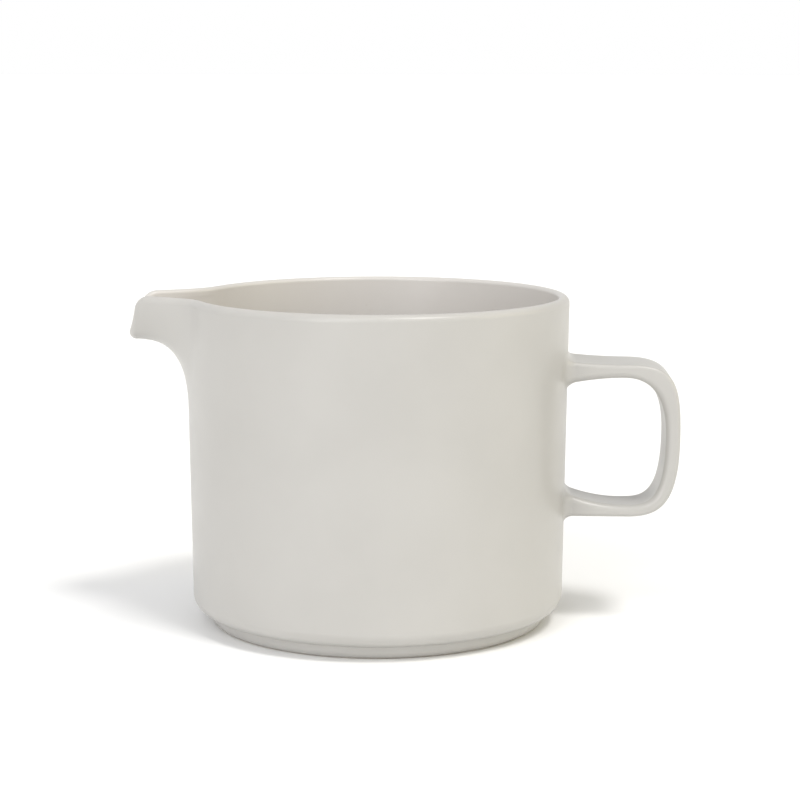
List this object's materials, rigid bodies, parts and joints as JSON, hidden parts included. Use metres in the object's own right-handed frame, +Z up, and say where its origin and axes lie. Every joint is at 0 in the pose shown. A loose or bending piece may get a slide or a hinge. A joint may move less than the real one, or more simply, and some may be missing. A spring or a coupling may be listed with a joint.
{
  "type": "pitcher",
  "caption": "Straight-walled stoneware jug with an open beak spout, a strap loop handle opposite it and a recessed foot ring, open at the top.",
  "frame": {"origin": "middle of the overall length and width, at the height of the surface that the foot ring stands on", "axes": "+Z up along the jug's axis; +X towards the handle, along the overall length; the spout points towards -X"},
  "size_m": [0.1928, 0.134, 0.1156],
  "materials": {
    "glaze": "satin"
  },
  "bodies": {
    "root": {"body_wall": "glaze", "base_plate": "glaze", "foot_ring": "glaze", "spout": "glaze", "handle": "glaze"}
  },
  "joints": []
}
